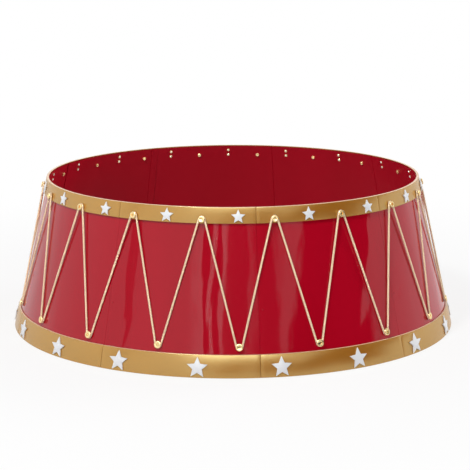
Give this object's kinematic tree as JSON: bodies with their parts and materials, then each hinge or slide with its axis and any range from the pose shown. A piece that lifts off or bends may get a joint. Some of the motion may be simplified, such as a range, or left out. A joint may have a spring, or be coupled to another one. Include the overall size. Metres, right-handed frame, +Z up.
{
  "type": "christmas tree collar",
  "caption": "Drum-shaped collar of leaning sheet panels that stands round the foot of a tree, with a band at top and bottom, stars, and a zigzag rope laced round studs",
  "frame": {"origin": "centre of the base circle, on the floor that the collar stands on", "axes": "+Z up along the drum's axis, -Y towards the front, with a lower stud facing it; +X to the right seen from the front"},
  "size_m": [0.7654, 0.7633, 0.258],
  "materials": {
    "wall": "glossy red with soft upright waves in the sheen",
    "band": "satin antique gold",
    "star": "satin white",
    "stud": "satin",
    "rope": "twisted golden cord, slight sheen"
  },
  "bodies": {
    "root": {"wall_panels": "wall", "upper_band": "band", "lower_band": "band", "upper_studs": "stud", "lower_studs": "stud", "lacing_rope": "rope", "upper_star_1": "star", "upper_star_2": "star", "upper_star_3": "star", "upper_star_4": "star", "upper_star_5": "star", "upper_star_6": "star", "upper_star_7": "star", "upper_star_8": "star", "upper_star_9": "star", "upper_star_10": "star", "upper_star_11": "star", "upper_star_12": "star", "upper_star_13": "star", "upper_star_14": "star", "upper_star_15": "star", "upper_star_16": "star", "upper_star_17": "star", "upper_star_18": "star", "lower_star_1": "star", "lower_star_2": "star", "lower_star_3": "star", "lower_star_4": "star", "lower_star_5": "star", "lower_star_6": "star", "lower_star_7": "star", "lower_star_8": "star", "lower_star_9": "star", "lower_star_10": "star", "lower_star_11": "star", "lower_star_12": "star", "lower_star_13": "star", "lower_star_14": "star", "lower_star_15": "star", "lower_star_16": "star", "lower_star_17": "star", "lower_star_18": "star"}
  },
  "joints": []
}
